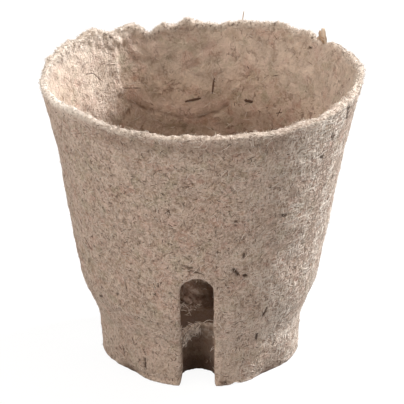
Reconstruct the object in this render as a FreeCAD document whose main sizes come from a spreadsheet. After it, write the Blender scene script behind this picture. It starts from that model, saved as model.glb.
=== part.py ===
import FreeCAD
import Part
import math
import os
import re

import Sketcher
from FreeCAD import Placement, Rotation, Vector

# Round peat pot, 8 cm class, pressed from pulp in one piece.
# Lengths are millimetres and angles are degrees. +Z is up, and the origin is the
# middle of the underside. The front of the pot faces -Y.
#
# The wall is one revolved section: a short foot, a shoulder, a plain draughted wall
# and a wider flare under the rim. Root slots stand round the foot. Each was left by a
# lug of the mould with a round nose, and the pulp that wrapped the lug stays inside
# the foot as a half-round skin with a torn, sloping top. The rim is torn, not trimmed.

SIZES = {
    "rim_diameter": 80.0,
    "pot_height": 73.0,
    "flare_depth": 16.4,
    "flare_step": 3.9,
    "shoulder_rise": 9.0,
    "shoulder_step": 3.8,
    "foot_height": 12.0,
    "foot_draft": 0.8,
    "base_diameter": 51.2,
    "wall_thickness": 2.2,
    "rim_thickness": 1.9,
    "floor_thickness": 3.0,
    "base_bevel": 0.6,
    "foot_corner_radius": 8.0,
    "shoulder_radius": 12.0,
    "floor_bevel": 1.6,
    "slot_count": 4,
    "slot_width": 8.4,
    "slot_height": 33.0,
    "slot_depth": 9.6,
    "skin_thickness": 2.3,
    "skin_tear_low": 10.4,
    "skin_tear_high": 13.8,
    "facet_depth": 1.3,
    "facet_height": 9.0,
    "rim_stock": 5.0,
    "rim_bevel": 0.7,
    "rim_back_rise": 0.4,
    "rim_ripple": 0.25,
}

# Clots and gaps of the torn rim: the angle from the back (+Y) towards +X, the rise
# above the rim around it, and the half width of the clot in degrees.
RIM_CLOTS = {
    "left_side_clot": (-73.6, 1.9, 7.2),
    "left_clot": (-60.3, 2.5, 6.6),
    "left_back_clot": (-46.4, 2.3, 6.0),
    "back_left_clot": (-23.8, 2.3, 10.8),
    "back_gap": (-22.0, -3.7, 4.1),
    "back_clot": (-6.4, 2.0, 2.6),
    "back_right_clot": (20.2, 1.9, 8.9),
    "right_back_clot": (33.2, 2.7, 5.9),
    "right_clot": (42.6, 2.3, 4.3),
    "right_side_swell": (64.8, 2.1, 14.8),
    "right_side_clot": (87.2, 2.7, 7.2),
    "left_front_swell": (-131.1, 1.5, 17.5),
}

# The ripple of the rim is a sum of waves: how many go round, and where each starts.
RIPPLE_WAVES = ((7, 20.0), (13, 75.0), (23, 140.0))
RIM_POINTS = 96
# The rim is low and even only at the front: the higher this power, the narrower that part.
FRONT_POWER = 3

# Cutting shapes reach this far past the material, and points this near are one place.
OVERSHOOT = 6.0
TOUCH = 0.01

SHEET = "Sizes"
NODE = "pot"

# Sizes that several features share, as formulas of the sheet's names.
BASE = "base_diameter / 2"
FOOT = f"{BASE} + foot_draft"
SHOULDER = f"{FOOT} + shoulder_step"
RIM = "rim_diameter / 2"
FLARE = f"{RIM} - flare_step"
NOSE_PLACE = f"{BASE} - slot_depth + slot_width / 2"
SPRING_HEIGHT = "slot_height - slot_width / 2"
SHOULDER_HEIGHT = "foot_height + shoulder_rise"
FLARE_HEIGHT = "pot_height - flare_depth"
BLANK_TOP = "pot_height + rim_stock"
OUTER_SLOPE = "flare_step / flare_depth"
INNER_SLOPE = f"({OUTER_SLOPE} + (wall_thickness - rim_thickness) / flare_depth)"


def sized(formula):
    """Turn a formula of size names into one that reads them from the sheet."""
    return re.sub("[a-z_]+", lambda word: f"{SHEET}.{word[0]}" if word[0] in SIZES else word[0], formula)


def put_sizes(doc):
    """Make the sheet that holds every driving size under its own alias."""
    sheet = doc.addObject("Spreadsheet::Sheet", SHEET)
    rows = dict(SIZES)
    for clot, (angle, rise, spread) in RIM_CLOTS.items():
        rows[f"{clot}_angle"] = angle
        rows[f"{clot}_rise"] = rise
        rows[f"{clot}_spread"] = spread
    for row, (name, value) in enumerate(rows.items(), start=1):
        sheet.set(f"A{row}", name)
        sheet.set(f"B{row}", str(value))
        sheet.setAlias(f"B{row}", name)
    doc.recompute()
    return sheet


def origin_part(body, role):
    """Return the body's own origin plane or axis with this role, such as XZ_Plane."""
    return next(part for part in body.Origin.OriginFeatures if part.Role == role)


def new_sketch(body, name, role, lift=None, turn=None):
    """Start a sketch on an origin plane, lifted along its normal or turned about its upright."""
    sketch = body.newObject("Sketcher::SketchObject", name)
    sketch.AttachmentSupport = [(origin_part(body, role), "")]
    sketch.MapMode = "FlatFace"
    if turn is not None:
        sketch.AttachmentOffset = Placement(Vector(), Rotation(Vector(0, 1, 0), 1))
        sketch.setExpression("AttachmentOffset.Rotation.Angle", sized(turn))
    if lift is not None:
        sketch.setExpression("AttachmentOffset.Base.z", sized(lift))
    body.Document.recompute()
    return sketch


def value_of(sketch, formula):
    """Work a formula out now, for geometry that starts near its final place."""
    return float(sketch.evalExpression(sized(formula)))


def hold_point(sketch, edge, end, across, up):
    """Hold one point of an edge at two formulas; a zero puts it on the sketch's axis."""
    for kind, axis, formula in (("DistanceX", -2, across), ("DistanceY", -1, up)):
        if formula == "0":
            sketch.addConstraint(Sketcher.Constraint("PointOnObject", edge, end, axis))
            continue
        place = value_of(sketch, formula)
        index = sketch.addConstraint(Sketcher.Constraint(kind, -1, 1, edge, end, place))
        name = f"{kind}_{edge}_{end}"
        sketch.renameConstraint(index, name)
        sketch.setExpression(f"Constraints.{name}", sized(formula))


def draw_outline(sketch, corners):
    """Draw a closed outline of straight edges through corners given as formulas."""
    points = [Vector(value_of(sketch, across), value_of(sketch, up), 0) for across, up in corners]
    edges = []
    for here, there in zip(points, points[1:] + points[:1]):
        edges.append(sketch.addGeometry(Part.LineSegment(here, there)))
    for edge, after in zip(edges, edges[1:] + edges[:1]):
        sketch.addConstraint(Sketcher.Constraint("Coincident", edge, 2, after, 1))
    for edge, (across, up) in zip(edges, corners):
        hold_point(sketch, edge, 1, across, up)


def draw_round_end(sketch, centre, straight_end, width, upright):
    """Draw a strip with one half-round end: an arch if upright, else a tongue along X."""
    middle = value_of(sketch, centre)
    far = value_of(sketch, straight_end)
    half = value_of(sketch, width) / 2

    def at(along, across):
        return Vector(across, along, 0) if upright else Vector(along, across, 0)

    start = 0.0 if upright else math.pi / 2
    circle = Part.Circle(at(middle, 0), Vector(0, 0, 1), half)
    cap = sketch.addGeometry(Part.ArcOfCircle(circle, start, start + math.pi))
    first = sketch.addGeometry(Part.LineSegment(at(middle, -half), at(far, -half)))
    end = sketch.addGeometry(Part.LineSegment(at(far, -half), at(far, half)))
    second = sketch.addGeometry(Part.LineSegment(at(far, half), at(middle, half)))
    sketch.addConstraint(Sketcher.Constraint("Tangent", cap, 2, first, 1))
    sketch.addConstraint(Sketcher.Constraint("Coincident", first, 2, end, 1))
    sketch.addConstraint(Sketcher.Constraint("Coincident", end, 2, second, 1))
    sketch.addConstraint(Sketcher.Constraint("Tangent", second, 2, cap, 1))
    sides, cross = ("Vertical", "Horizontal") if upright else ("Horizontal", "Vertical")
    sketch.addConstraint(Sketcher.Constraint(sides, first))
    sketch.addConstraint(Sketcher.Constraint(sides, second))
    sketch.addConstraint(Sketcher.Constraint(cross, end))
    half_width = f"({width}) / 2"
    if upright:
        hold_point(sketch, cap, 3, "0", centre)
        hold_point(sketch, end, 2, half_width, straight_end)
    else:
        hold_point(sketch, cap, 3, centre, "0")
        hold_point(sketch, end, 2, straight_end, half_width)


def revolve(body, name, corners):
    """Turn a closed half section about Z into a solid."""
    section = new_sketch(body, f"{name}_section", "XZ_Plane")
    draw_outline(section, corners)
    feature = body.newObject("PartDesign::Revolution", name)
    feature.Profile = section
    feature.ReferenceAxis = (section, ["V_Axis"])
    feature.Angle = 360
    body.Document.recompute()
    return feature


def circle_at(feature, height, radius):
    """Name the full circle about Z that a feature has at a height and a radius."""
    for index, edge in enumerate(feature.Shape.Edges, start=1):
        if not isinstance(edge.Curve, Part.Circle):
            continue
        centre = edge.Curve.Center
        miss = (centre.x, centre.y, centre.z - height, edge.Curve.Radius - radius)
        if max(abs(value) for value in miss) < TOUCH:
            return f"Edge{index}"
    raise ValueError(f"{feature.Name} has no circle at height {height} and radius {radius}")


def fillet(body, name, base, edges, radius):
    """Round named edges of a feature with a radius from the sheet."""
    feature = body.newObject("PartDesign::Fillet", name)
    feature.Base = (base, edges)
    feature.setExpression("Radius", sized(radius))
    body.Document.recompute()
    return feature


def round_section(body, feature, circles):
    """Round the circles of a revolved blank, each given as name, height, radius and fillet."""
    for name, height, across, radius in circles:
        place = [float(body.evalExpression(sized(formula))) for formula in (height, across)]
        edge = circle_at(feature, *place)
        feature = fillet(body, name, feature, [edge], radius)


def cut_along(body, name, sketch, length=None, up_to=None, midplane=False):
    """Cut a sketch along its normal: through all, by a length, or up to a plane."""
    cut = body.newObject("PartDesign::Pocket", name)
    cut.Profile = sketch
    cut.Reversed = True
    if up_to is not None:
        cut.Type = "UpToFace"
        cut.UpToFace = (up_to, [""])
    elif length is None:
        cut.Type = "ThroughAll"
    else:
        cut.Type = "Length"
        cut.Midplane = midplane
        cut.setExpression("Length", sized(length))
    body.Document.recompute()
    return cut


def repeat_round(body, name, features):
    """Repeat features at equal angles about Z, once for each slot."""
    pattern = body.newObject("PartDesign::PolarPattern", name)
    pattern.Originals = features
    pattern.Axis = (origin_part(body, "Z_Axis"), [""])
    pattern.Angle = 360
    pattern.setExpression("Occurrences", sized("slot_count"))
    body.Tip = pattern
    body.Document.recompute()


def make_inside(doc):
    """Make the solid that the pulp was pressed over, with room for the skins."""
    body = doc.addObject("PartDesign::Body", "Inside_form")
    inner_rim = f"{RIM} - rim_thickness + rim_stock * {INNER_SLOPE}"
    hollow = revolve(body, "Hollow", (
        ("0", "floor_thickness"),
        (f"{BASE} - wall_thickness - floor_bevel", "floor_thickness"),
        (f"{BASE} - wall_thickness", "floor_thickness + floor_bevel"),
        (f"{FOOT} - wall_thickness", "foot_height"),
        (f"{SHOULDER} - wall_thickness", SHOULDER_HEIGHT),
        (f"{FLARE} - wall_thickness", FLARE_HEIGHT),
        (inner_rim, BLANK_TOP),
        ("0", BLANK_TOP),
    ))
    round_section(body, hollow, (
        ("Foot_inside", "foot_height", f"{FOOT} - wall_thickness", "foot_corner_radius"),
        ("Shoulder_inside", SHOULDER_HEIGHT, f"{SHOULDER} - wall_thickness", "shoulder_radius"),
    ))
    tear = body.newObject("PartDesign::Plane", "Skin_tear")
    tear.AttachmentSupport = [(origin_part(body, "XY_Plane"), "")]
    tear.MapMode = "FlatFace"
    tear.AttachmentOffset = Placement(Vector(), Rotation(Vector(1, 0, 0), 1))
    tear.setExpression("AttachmentOffset.Base.z", sized("(skin_tear_low + skin_tear_high) / 2"))
    slope = "atan((skin_tear_high - skin_tear_low) / (slot_width + 2 * skin_thickness))"
    tear.setExpression("AttachmentOffset.Rotation.Angle", sized(slope))
    plan = new_sketch(body, "Skin_plan", "XY_Plane")
    draw_round_end(plan, NOSE_PLACE, "rim_diameter", "slot_width + 2 * skin_thickness", False)
    room = cut_along(body, "Skin_room", plan, up_to=tear)
    repeat_round(body, "Skin_rooms", [room])
    return body


def make_outside(doc):
    """Make the solid that the outer mould shaped."""
    body = doc.addObject("PartDesign::Body", "Moulding")
    outer_rim = f"{RIM} + rim_stock * {OUTER_SLOPE}"
    blank = revolve(body, "Blank", (
        ("0", "0"),
        (f"{BASE} - base_bevel", "0"),
        (BASE, "base_bevel"),
        (FOOT, "foot_height"),
        (SHOULDER, SHOULDER_HEIGHT),
        (FLARE, FLARE_HEIGHT),
        (outer_rim, BLANK_TOP),
        ("0", BLANK_TOP),
    ))
    round_section(body, blank, (
        ("Foot_corner", "foot_height", FOOT, "foot_corner_radius"),
        ("Shoulder", SHOULDER_HEIGHT, SHOULDER, "shoulder_radius"),
    ))
    return body


def cut_facets(body):
    """Flatten the foot's lower edge between the slots, where the wet pot was set down."""
    outline = new_sketch(body, "Facet_section", "XZ_Plane", turn="180 / slot_count")
    draw_outline(outline, (
        (f"{BASE} - facet_depth", "0"),
        (RIM, "0"),
        (RIM, "facet_height"),
        (FOOT, "facet_height"),
    ))
    facet = cut_along(body, "Facet", outline, length="rim_diameter", midplane=True)
    repeat_round(body, "Facets", [facet])


def cut_slots(body):
    """Cut the root slots: an arch through the wall, with a round-nosed well behind it."""
    arch = new_sketch(body, "Arch_face", "YZ_Plane", lift=NOSE_PLACE)
    draw_round_end(arch, SPRING_HEIGHT, "0", "slot_width", True)
    opening = cut_along(body, "Arch", arch)
    nose = new_sketch(body, "Nose_plan", "XY_Plane")
    draw_round_end(nose, NOSE_PLACE, BASE, "slot_width", False)
    well = cut_along(body, "Nose", nose, length=SPRING_HEIGHT)
    repeat_round(body, "Slots", [opening, well])


def hollow_out(body, inside):
    """Take the inside form away from the moulding."""
    cut = body.newObject("PartDesign::Boolean", "Hollowed")
    cut.setObjects([inside])
    cut.Type = "Cut"
    body.Document.recompute()


def rim_height(angle, sheet):
    """Return how high the torn rim stands at an angle from the back towards +X."""
    turn = math.radians(angle)
    behind = 1 - ((1 - math.cos(turn)) / 2) ** FRONT_POWER
    ripple = sum(math.sin(waves * turn + math.radians(start)) for waves, start in RIPPLE_WAVES)
    height = sheet.get("pot_height")
    height += behind * (sheet.get("rim_back_rise") + sheet.get("rim_ripple") * ripple)
    for clot in RIM_CLOTS:
        away = (angle - sheet.get(f"{clot}_angle") + 180) % 360 - 180
        spread = sheet.get(f"{clot}_spread")
        height += sheet.get(f"{clot}_rise") * math.exp(-((away / spread) ** 2))
    return height


def rim_curve(sheet, radius, drop):
    """Make the closed curve of the torn rim on a cylinder, lowered by drop."""
    points = []
    for step in range(RIM_POINTS):
        angle = 360 * step / RIM_POINTS
        turn = math.radians(angle)
        height = rim_height(angle, sheet) - drop
        points.append(Vector(radius * math.sin(turn), radius * math.cos(turn), height))
    curve = Part.BSplineCurve()
    curve.interpolate(Points=points, PeriodicFlag=True)
    return curve.toShape()


def make_rim_cutter(doc, sheet):
    """Make the ring whose wavy, bevelled underside tears the blank off at the rim."""
    outer = sheet.get("rim_diameter") / 2
    inner = outer - sheet.get("rim_thickness")
    bevel = sheet.get("rim_bevel")
    reach = OVERSHOOT / sheet.get("rim_thickness")
    high = rim_curve(sheet, inner - OVERSHOOT, -bevel * reach)
    low = rim_curve(sheet, outer + OVERSHOOT, bevel * (1 + reach))
    underside = Part.makeRuledSurface(high, low)
    cutter = doc.addObject("Part::Feature", "Rim_tear")
    cutter.Shape = underside.extrude(Vector(0, 0, sheet.get("rim_stock") + 2 * OVERSHOOT))
    return cutter


def make_pot(doc, sheet):
    """Build the pot: the moulding, hollowed and slotted, then torn off at the rim."""
    inside = make_inside(doc)
    moulding = make_outside(doc)
    hollow_out(moulding, inside)
    cut_facets(moulding)
    cut_slots(moulding)
    pot = doc.addObject("Part::Cut", "Torn_pot")
    pot.Base = moulding
    pot.Tool = make_rim_cutter(doc, sheet)
    pot.Label = NODE
    doc.recompute()
    return pot


def check(doc, pot):
    """Stop if any object failed, or if the pot isn't one valid solid."""
    for thing in doc.Objects:
        if "Invalid" in thing.State or "Error" in thing.State:
            raise RuntimeError(f"{thing.Name} failed: {thing.getStatusString()}")
    shape = pot.Shape
    if shape.isNull() or not shape.isValid() or len(shape.Solids) != 1:
        raise RuntimeError(f"{pot.Label} is not one valid solid")


def main():
    """Build the document, check it and write the pot's solid."""
    doc = FreeCAD.newDocument("Peat_pot")
    sheet = put_sizes(doc)
    pot = make_pot(doc, sheet)
    check(doc, pot)
    os.makedirs("parts", exist_ok=True)
    pot.Shape.exportStep(f"parts/{pot.Label}.step")
    box = pot.Shape.optimalBoundingBox()
    print(f"{pot.Label}: {box.XLength:.1f} x {box.YLength:.1f} x {box.ZLength:.1f} mm")
    print(f"volume {pot.Shape.Volume / 1000:.2f} cm3")


main()
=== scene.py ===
"""Dress the frame of a round peat pot: its moulded pulp, torn rim, loose fibres and studio."""

from __future__ import annotations

import functools
import itertools
import logging
import math
from collections.abc import Iterable
from dataclasses import dataclass
from enum import Enum

import bpy
import numpy as np
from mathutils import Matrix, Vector
from mathutils.bvhtree import BVHTree

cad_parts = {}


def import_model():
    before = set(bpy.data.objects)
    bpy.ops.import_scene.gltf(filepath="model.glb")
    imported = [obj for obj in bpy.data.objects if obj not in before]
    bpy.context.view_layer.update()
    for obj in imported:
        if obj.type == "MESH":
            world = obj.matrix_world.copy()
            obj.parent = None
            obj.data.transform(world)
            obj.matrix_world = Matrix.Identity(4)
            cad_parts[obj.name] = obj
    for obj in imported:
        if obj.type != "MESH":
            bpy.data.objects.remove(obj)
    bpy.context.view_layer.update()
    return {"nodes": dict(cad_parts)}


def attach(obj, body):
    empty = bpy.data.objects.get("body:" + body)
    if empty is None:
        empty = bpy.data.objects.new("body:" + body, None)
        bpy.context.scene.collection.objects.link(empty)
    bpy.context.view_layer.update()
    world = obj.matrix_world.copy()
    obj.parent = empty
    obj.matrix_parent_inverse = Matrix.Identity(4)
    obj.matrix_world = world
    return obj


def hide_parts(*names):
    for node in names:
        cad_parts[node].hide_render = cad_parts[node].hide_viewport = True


LOG = logging.getLogger("peat_pot")

NODE = "pot"
BODY = "root"

# Lengths are millimetres in this file, and Blender's own are metres.
MM = 0.001
# The least length that a direction is divided by.
TINY = 1e-9

Triple = tuple[float, float, float]
Socket = bpy.types.NodeSocket
Sockets = dict[str | int, object]

# How much finer lumps add to a noise, against the lumps twice as large.
FINENESS = 0.6

# Inputs that share a name are given by their place. A MapRange's are its value, the two ends of
# the range it comes from and the two of the one it goes to, and a VectorMath's fourth is a scale.
# A colour mixer's have these places, and so has its result.
MIX_SHARE, MIX_UNDER, MIX_OVER, MIX_RESULT = 0, 6, 7, 2


def to_linear(colour: str) -> tuple[float, float, float, float]:
    """Turn an sRGB colour into a linear one, by the numbers of the sRGB standard.

    Args:
        colour: A hash and six hex digits.

    Returns:
        Linear red, green and blue, and an alpha of one.
    """
    parts = [int(colour[place:place + 2], 16) / 255 for place in (1, 3, 5)]
    red, green, blue = (p / 12.92 if p <= 0.04045 else ((p + 0.055) / 1.055) ** 2.4 for p in parts)
    return red, green, blue, 1.0


class Graph:
    """The nodes of one material, or of the world."""

    def __init__(self, owner: bpy.types.Material | bpy.types.World) -> None:
        """Start the owner's nodes afresh."""
        owner.use_nodes = True
        self.tree = owner.node_tree
        self.tree.nodes.clear()

    def add(
        self, kind: str, sockets: Sockets | None = None, out: str | int = 0, **settings: object
    ) -> Socket | None:
        """Add one node with its settings and links.

        Args:
            kind: Its type in Blender, without the ShaderNode that every type begins with.
            sockets: For an input's name or place, the value it holds or the output that feeds it.
            out: The name or the place of the output that is wanted.
            **settings: Properties of the node itself.

        Returns:
            The wanted output, or nothing from a node that has none.
        """
        node = self.tree.nodes.new("ShaderNode" + kind)
        for name, value in settings.items():
            setattr(node, name, value)
        for socket, value in (sockets or {}).items():
            if isinstance(value, Socket):
                self.tree.links.new(value, node.inputs[socket])
            else:
                node.inputs[socket].default_value = value
        return node.outputs[out] if node.outputs else None


def smooth(share: np.ndarray) -> np.ndarray:
    """Let a share from 0 to 1 start and end gently."""
    return share * share * (3.0 - 2.0 * share)


def ramp(values: np.ndarray, start: float | np.ndarray, end: float | np.ndarray) -> np.ndarray:
    """Rise smoothly from 0 at start to 1 at end, or fall where end is the lower.

    Args:
        values: What is compared with start and end.
        start: The value that gives 0.
        end: The value that gives 1.

    Returns:
        A number from 0 to 1 for each value.
    """
    return smooth(np.clip((values - start) / (end - start), 0.0, 1.0))


def bell(values: np.ndarray, width: float) -> np.ndarray:
    """Return 1 where a value is 0, and less the further it is from that, by a bell's half width."""
    return np.exp(-((values / width) ** 2))


def past(bearing: np.ndarray, middle: float) -> np.ndarray:
    """Return how many degrees each bearing is past a middle one, from -180 to 180."""
    return (bearing - middle + 180.0) % 360.0 - 180.0


def between(low: float, high: float, share: np.ndarray) -> np.ndarray:
    """Return the number that lies a share of the way from the low one to the high one."""
    return low + (high - low) * share


def distance(spots: np.ndarray, start: np.ndarray, end: np.ndarray) -> np.ndarray:
    """Measure how far points are from a straight stretch.

    Args:
        spots: The points, one a row.
        start: Where the stretch begins.
        end: Where it ends.

    Returns:
        The distance of each point.
    """
    span = end - start
    along = np.clip((spots - start) @ span / (span @ span), 0.0, 1.0)
    return np.linalg.norm(spots - start - along[:, None] * span, axis=1)


def read_points(mesh: bpy.types.Mesh) -> np.ndarray:
    """Return a mesh's points in millimetres, one a row."""
    places = np.empty(len(mesh.vertices) * 3)
    mesh.vertices.foreach_get("co", places)
    return places.reshape(-1, 3) / MM


def lumps(places: np.ndarray, size: float, seed: int, cells: int = 48) -> np.ndarray:
    """Read smooth seeded noise, whose pattern repeats after a number of cells.

    Args:
        places: Points in millimetres, one a row.
        size: The size of a lump in millimetres.
        seed: The seed of the noise.
        cells: How many lumps there are along each side before the noise repeats.

    Returns:
        A number from -1 to 1 for each point.
    """
    lattice = np.random.default_rng(seed).uniform(-1.0, 1.0, (cells,) * 3)
    spots = places / size
    corner = np.floor(spots).astype(int)
    share = smooth(spots - corner)
    total = np.zeros(len(places))
    for step in itertools.product((0, 1), repeat=3):
        weight = np.prod(np.where(step, share, 1.0 - share), axis=1)
        cell = (corner + step) % cells
        total += weight * lattice[cell[:, 0], cell[:, 1], cell[:, 2]]
    return total


class Relief(Enum):
    """What makes the pulp uneven, as layers of lumps: the size, height and seed of each."""

    DENTS = ((18.0, 0.35, 1), (8.0, 0.14, 2))
    FELT = ((3.6, 0.14, 3), (1.4, 0.10, 4))
    LARGE_CLOTS = ((6.0, 0.30, 5),)
    CLOTS = ((2.6, 0.22, 6), (1.3, 0.13, 7))
    RIM_FLUFF = ((1.2, 0.26, 8), (2.8, 0.32, 9))
    RIM_STEPS = ((2.0, 0.30, 10),)
    RIM_CRUMBS = ((1.0, 0.20, 11),)
    ROLL = ((3.0, 0.45, 12), (1.4, 0.4, 13))
    CREASE_ROUND = ((3.0, 0.5, 14),)
    CREASE_UP = ((3.0, 0.5, 15),)
    SKIN_TEAR = ((2.2, 0.55, 16), (1.1, 0.45, 17))
    SLOT_LIP = ((2.4, 0.16, 18), (1.1, 0.12, 19))
    PIT_EDGE = ((0.9, 0.55, 20),)
    TIDE = ((4.0, 0.8, 21),)
    CLOD = ((1.8, 0.7, 22), (0.9, 0.4, 23))
    CREASE_SHADE = ((1.6, 1.1, 24),)
    FLAP_EDGE = ((3.4, 2.4, 25), (1.4, 1.4, 26))
    CHEWED_FOOT = ((1.8, 1.0, 27),)

    def at(self, places: np.ndarray, level: float = 0.0) -> np.ndarray:
        """Return the height of the lumps at each point, over a level of their own."""
        for size, height, seed in self.value:
            level = level + height * lumps(places, size, seed)
        return level


class Band(Enum):
    """Where a share rises smoothly: the value that gives 0, and the one that gives 1."""

    # How far out of the wall's middle a point is.
    OUTER_HALF = (-0.4, 0.4)
    OUTER_SIDE = (-0.3, 0.3)
    OUTER_FACE = (-0.3, 0.6)
    CHIPPED_INSIDE = (-0.3, -0.7)
    CHIPPED_OUTSIDE = (-0.5, 0.2)

    # How far below the rim it is.
    TORN_RIM = (4.0, 0.6)
    ROLLED_RIM = (9.0, 4.0)
    LIP = (1.6, 0.4)
    SHADE_UNDER_LIP = (0.6, 1.8)
    OVER_WALL = (6.8, 3.2)
    RIM_LIGHT_DEPTH = (4.6, 0.8)
    CHIPPED_LIP = (1.8, 0.6)
    CHIPPED_RIM = (3.4, 0.6)
    HAIRY_RIM = (2.2, 0.0)

    # How high it is.
    OFF_GROUND = (0.4, 3.0)
    FOOT_EDGE = (1.3, 0.2)
    WIDE_LIP = (17.0, 12.0)
    FLAP_BEND = (60.5, 55.0)
    FLAP_TOP = (49.0, 55.0)
    # Where the painted shade low inside the pot begins and is whole, on the wall and on the floor.
    WALL_SHADE = (13.0, 5.0)
    FLOOR_SHADE = (4.8, 3.2)
    FOOT_LIGHT = (21.0, 14.0)
    BARE_INSIDE = (24.0, 8.0)
    HAIRY = (0.2, 1.0)
    FRINGE = (4.4, 3.6)

    # How high it is over the top of the damp.
    LIT_ABOVE_TIDE = (6.0, 13.0)
    SOAKED_AND_SHADE = (0.0, -38.0)

    # How far round the pot it is from the back, either way or towards +X.
    FRONT_FOOT = (132.0, 165.0)
    FRONT_WALL = (125.0, 150.0)
    FRONT_LIP = (115.0, 140.0)
    CLOTTED_FLAP = (-74.0, -54.0)

    # The cosine of its bearing, which is 1 at the back.
    TORN_BACK = (-0.6, 0.7)
    PALE_BACK = (-0.9, 0.0)
    HAIRY_BACK = (-0.7, 0.6)

    # A depth, a distance or a share.
    CREVICE_SHADE = (0.04, -0.2)
    CREASE_SHADE = (0.45, 1.0)
    PIT = (1.5, 0.6)
    JAMB = (0.6, 0.3)
    SLOT_LIP = (1.0, 0.2)
    LIT_JAMBS = (2.4, 4.2)
    FACING_UP = (-0.2, 0.6)
    TORN_EDGE = (1.0, 0.25)

    def of(self, values: np.ndarray) -> np.ndarray:
        """Return a number from 0 to 1 for each value."""
        return ramp(values, *self.value)


class Stretch(Enum):
    """A stretch of the pot's round, as the bearing of its middle and its half width in degrees."""

    ROLLED = (-42.0, 20.0)
    TORN_LEFT = (-55.0, 32.0)
    LIT_LIP = (-112.0, 32.0)
    LIT_RIM_LEFT = (-115.0, 18.0)
    SHADED_LIP_RIGHT = (128.0, 26.0)
    CHIPPED = (62.0, 24.0)
    BARE_RIM = (62.0, 20.0)
    PRINT_LIT_RIGHT = (118.0, 30.0)
    PRINTED_BACK = (15.0, 40.0)

    def of(self, bearing: np.ndarray) -> np.ndarray:
        """Return 1 at the middle of the stretch, and less the further a bearing is from it."""
        middle, spread = self.value
        return bell(past(bearing, middle), spread)


class PotForm:
    """The size of the frame's pot, read as an outer radius by height and a rim height by bearing."""

    def __init__(self, places: np.ndarray, wall: float) -> None:
        """Measure the pot.

        Args:
            places: Its points in millimetres, closely spaced, one a row.
            wall: The thickness of its wall in millimetres.
        """
        self.wall = wall
        radius = np.hypot(places[:, 0], places[:, 1])
        rows = np.round(places[:, 2]).astype(int)
        self.heights = np.unique(rows)
        self.radii = np.array([radius[rows == row].max() for row in self.heights])
        turns = np.round(self.bearing(places)).astype(int) % 360
        self.rims = np.array([places[turns == turn, 2].max() for turn in range(360)])

    @staticmethod
    def bearing(places: np.ndarray) -> np.ndarray:
        """Return the bearing of each point, in degrees from the back towards +X."""
        return np.degrees(np.arctan2(places[:, 0], places[:, 1]))

    def outer_radius(self, heights: np.ndarray) -> np.ndarray:
        """Return the outer radius of the wall at each height."""
        return np.interp(heights, self.heights, self.radii)

    def rim_height(self, bearing: np.ndarray) -> np.ndarray:
        """Return the height of the rim at each bearing."""
        return np.interp(bearing, np.arange(360), self.rims, period=360)


class WallPoints:
    """Points of the pot, and where each lies on its wall."""

    def __init__(self, places: np.ndarray, form: PotForm) -> None:
        """Find where the points lie.

        Args:
            places: The points in millimetres, one a row.
            form: The measured pot.
        """
        self.places = places
        self.height = places[:, 2]
        self.bearing = form.bearing(places)
        self.cosine = np.cos(np.radians(self.bearing))
        self.radius = np.hypot(places[:, 0], places[:, 1])
        self.outer_radius = form.outer_radius(self.height)
        self.middle = self.outer_radius - form.wall / 2
        self.out = self.radius - self.middle
        self.below = form.rim_height(self.bearing) - self.height


class Side(Enum):
    """Where a mark lies in the wall, as a share of its thickness in from the outer face."""

    OUTER = 0.0
    RIM = 0.5
    INNER = 1.0


@dataclass(frozen=True)
class Stroke:
    """A dark stalk, pit or torn piece, from one bearing and height to another."""

    side: Side
    start: tuple[float, float]
    end: tuple[float, float]
    width: float

    def route(self, surface: PulpSurface, steps: int) -> tuple[np.ndarray, np.ndarray]:
        """Lead the stroke over the wall, or up from the middle of the rim.

        Args:
            surface: The surface of the pot.
            steps: How many points it has.

        Returns:
            Its points and the directions straight out of the wall there.
        """
        share = np.linspace(0.0, 1.0, steps)
        turn = np.radians(between(self.start[0], self.end[0], share))
        height = between(self.start[1], self.end[1], share)
        outward = np.stack((np.sin(turn), np.cos(turn), np.zeros(steps)), axis=1)
        inset = surface.form.wall * self.side.value
        places = outward * (surface.form.outer_radius(height) - inset)[:, None]
        places[:, 2] = height
        return (places, outward) if self.side is Side.RIM else surface.nearest(places)


def strokes(side: Side, *rows: tuple[float, ...]) -> tuple[Stroke, ...]:
    """Gather strokes on one side.

    Args:
        side: The side that they lie on.
        *rows: For each, the bearing and height of its start and of its end, and its width.

    Returns:
        The strokes.
    """
    return tuple(Stroke(side, row[:2], row[2:4], row[4]) for row in rows)


PITS = strokes(
    Side.INNER,
    (46.1, 71.5, 47.3, 71.7, 0.70),
) + strokes(
    Side.OUTER,
    (113.2, 71.2, 110.8, 68.0, 1.28), (122.0, 66.4, 121.3, 65.0, 0.83),
    (127.1, 61.4, 125.6, 61.1, 0.58), (143.3, 48.3, 141.6, 48.1, 0.64),
    (163.9, 34.9, 161.9, 33.7, 0.96), (159.2, 32.9, 157.9, 32.8, 0.64),
    (159.8, 39.3, 159.3, 37.9, 0.64), (146.9, 19.9, 145.7, 21.8, 0.64),
    (146.9, 12.0, 146.8, 13.6, 0.51), (167.0, 0.9, 164.3, 0.8, 0.90),
    (-138.6, 24.2, -140.2, 24.5, 0.58), (-133.5, 6.5, -132.6, 4.7, 0.58),
    (-149.5, 6.2, -149.2, 3.0, 0.51), (-122.9, 20.2, -126.6, 21.1, 0.51),
    (-174.5, 36.6, -178.0, 36.2, 0.45), (-176.5, 35.4, -181.8, 34.6, 0.38),
)

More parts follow.
